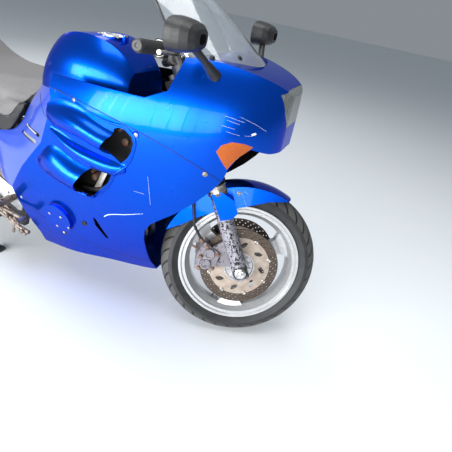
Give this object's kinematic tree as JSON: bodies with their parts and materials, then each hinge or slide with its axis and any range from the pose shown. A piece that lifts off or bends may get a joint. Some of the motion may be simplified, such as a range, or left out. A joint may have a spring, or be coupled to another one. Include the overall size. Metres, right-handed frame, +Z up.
{
  "type": "sport touring motorcycle",
  "caption": "Full-fairing sport motorcycle parked on its centre stand, with turning wheels, steering, two folding stands and a hinged fuel cap.",
  "frame": {"origin": "on the floor, at the middle of the bounding box", "axes": "+X forward, +Y to the rider's left, +Z up"},
  "size_m": [2.2124, 0.742, 1.2091],
  "materials": {
    "azure_paint": "glossy clear coat",
    "tyre_rubber": "matt",
    "cast_wheel_silver": "satin paint",
    "brake_steel": "worn",
    "fork_lower_silver": "flaked paint",
    "fork_chrome": "polished",
    "black_frame": "satin black",
    "steel_pin": "plated",
    "caliper_grey": "anodised, weathered",
    "black_rubber": "matt",
    "clear_glass": "clear",
    "amber_lens": "clear moulded",
    "red_lens": "clear moulded",
    "engine_metal": "cast",
    "exhaust_steel": "brushed",
    "seat_vinyl": "grained vinyl over foam",
    "bright_metal": "polished"
  },
  "bodies": {
    "chassis": {"upper_fairing": "azure_paint", "headlamp_lens": "clear_glass", "front_indicators": "amber_lens", "side_fairing_right": "azure_paint", "side_fairing_left": "azure_paint", "belly_pan": "azure_paint", "engine_cover_pods": "azure_paint", "side_cover_right": "azure_paint", "side_cover_left": "azure_paint", "windscreen": "clear_glass", "headlamp_housing": "black_frame", "tail_fairing": "azure_paint", "frame": "black_frame", "engine": "engine_metal", "radiator": "black_frame", "silencers": "exhaust_steel", "exhaust_pipes": "exhaust_steel", "fuel_tank": "azure_paint", "seat": "seat_vinyl", "swingarm": "black_frame", "swingarm_pin": "steel_pin", "rear_axle": "steel_pin", "rear_damper": "steel_pin", "drive_chain": "steel_pin", "rear_caliper": "caliper_grey", "footpeg_hanger_left": "bright_metal", "footpeg_hanger_right": "bright_metal", "tail_lamp": "red_lens", "rear_mudguard": "black_frame", "rear_indicators": "amber_lens", "grab_rail": "bright_metal", "mirrors": "black_frame", "instrument_panel": "black_frame"},
    "steering": {"fork_lowers": "fork_lower_silver", "fork_tubes": "fork_chrome", "front_axle": "steel_pin", "yokes": "black_frame", "front_calipers": "caliper_grey", "front_fender": "azure_paint", "handlebars": "black_frame", "grips": "black_rubber", "levers": "steel_pin", "brake_hoses": "black_rubber"},
    "front_wheel": {"front_tyre": "tyre_rubber", "front_rim": "cast_wheel_silver", "front_discs": "brake_steel"},
    "rear_wheel": {"rear_tyre": "tyre_rubber", "rear_rim": "cast_wheel_silver", "rear_disc": "brake_steel", "rear_sprocket": "steel_pin"},
    "centre_stand": {"centre_stand": "black_frame"},
    "side_stand": {"side_stand": "black_frame"},
    "fuel_cap": {"fuel_cap": "bright_metal"}
  },
  "joints": [
    {"name": "steering", "type": "hinge", "parent": "chassis", "child": "steering", "pos_m": [0.57114, 0, 0.71463], "axis": [-0.454, 0, 0.891], "range_deg": [-52, 0]},
    {"name": "front_wheel_spin", "type": "hinge", "parent": "steering", "child": "front_wheel", "pos_m": [0.82515, 0.01752, 0.29524], "axis": [-0.3906, 0.8988, -0.199], "continuous": true},
    {"name": "rear_wheel_spin", "type": "hinge", "parent": "chassis", "child": "rear_wheel", "pos_m": [-0.67624, 0, 0.338], "axis": [0, 1, 0], "continuous": true},
    {"name": "centre_stand_fold", "type": "hinge", "parent": "chassis", "child": "centre_stand", "pos_m": [-0.27125, 0, 0.21208], "axis": [0, 1, 0], "range_deg": [0, 96]},
    {"name": "side_stand_fold", "type": "hinge", "parent": "chassis", "child": "side_stand", "pos_m": [-0.05525, 0.222, 0.22908], "axis": [0, 0.9703, 0.2419], "range_deg": [-100, 0]},
    {"name": "fuel_cap_hinge", "type": "hinge", "parent": "chassis", "child": "fuel_cap", "pos_m": [0.27276, 0, 0.99438], "axis": [0, 1, 0], "range_deg": [0, 100]}
  ]
}
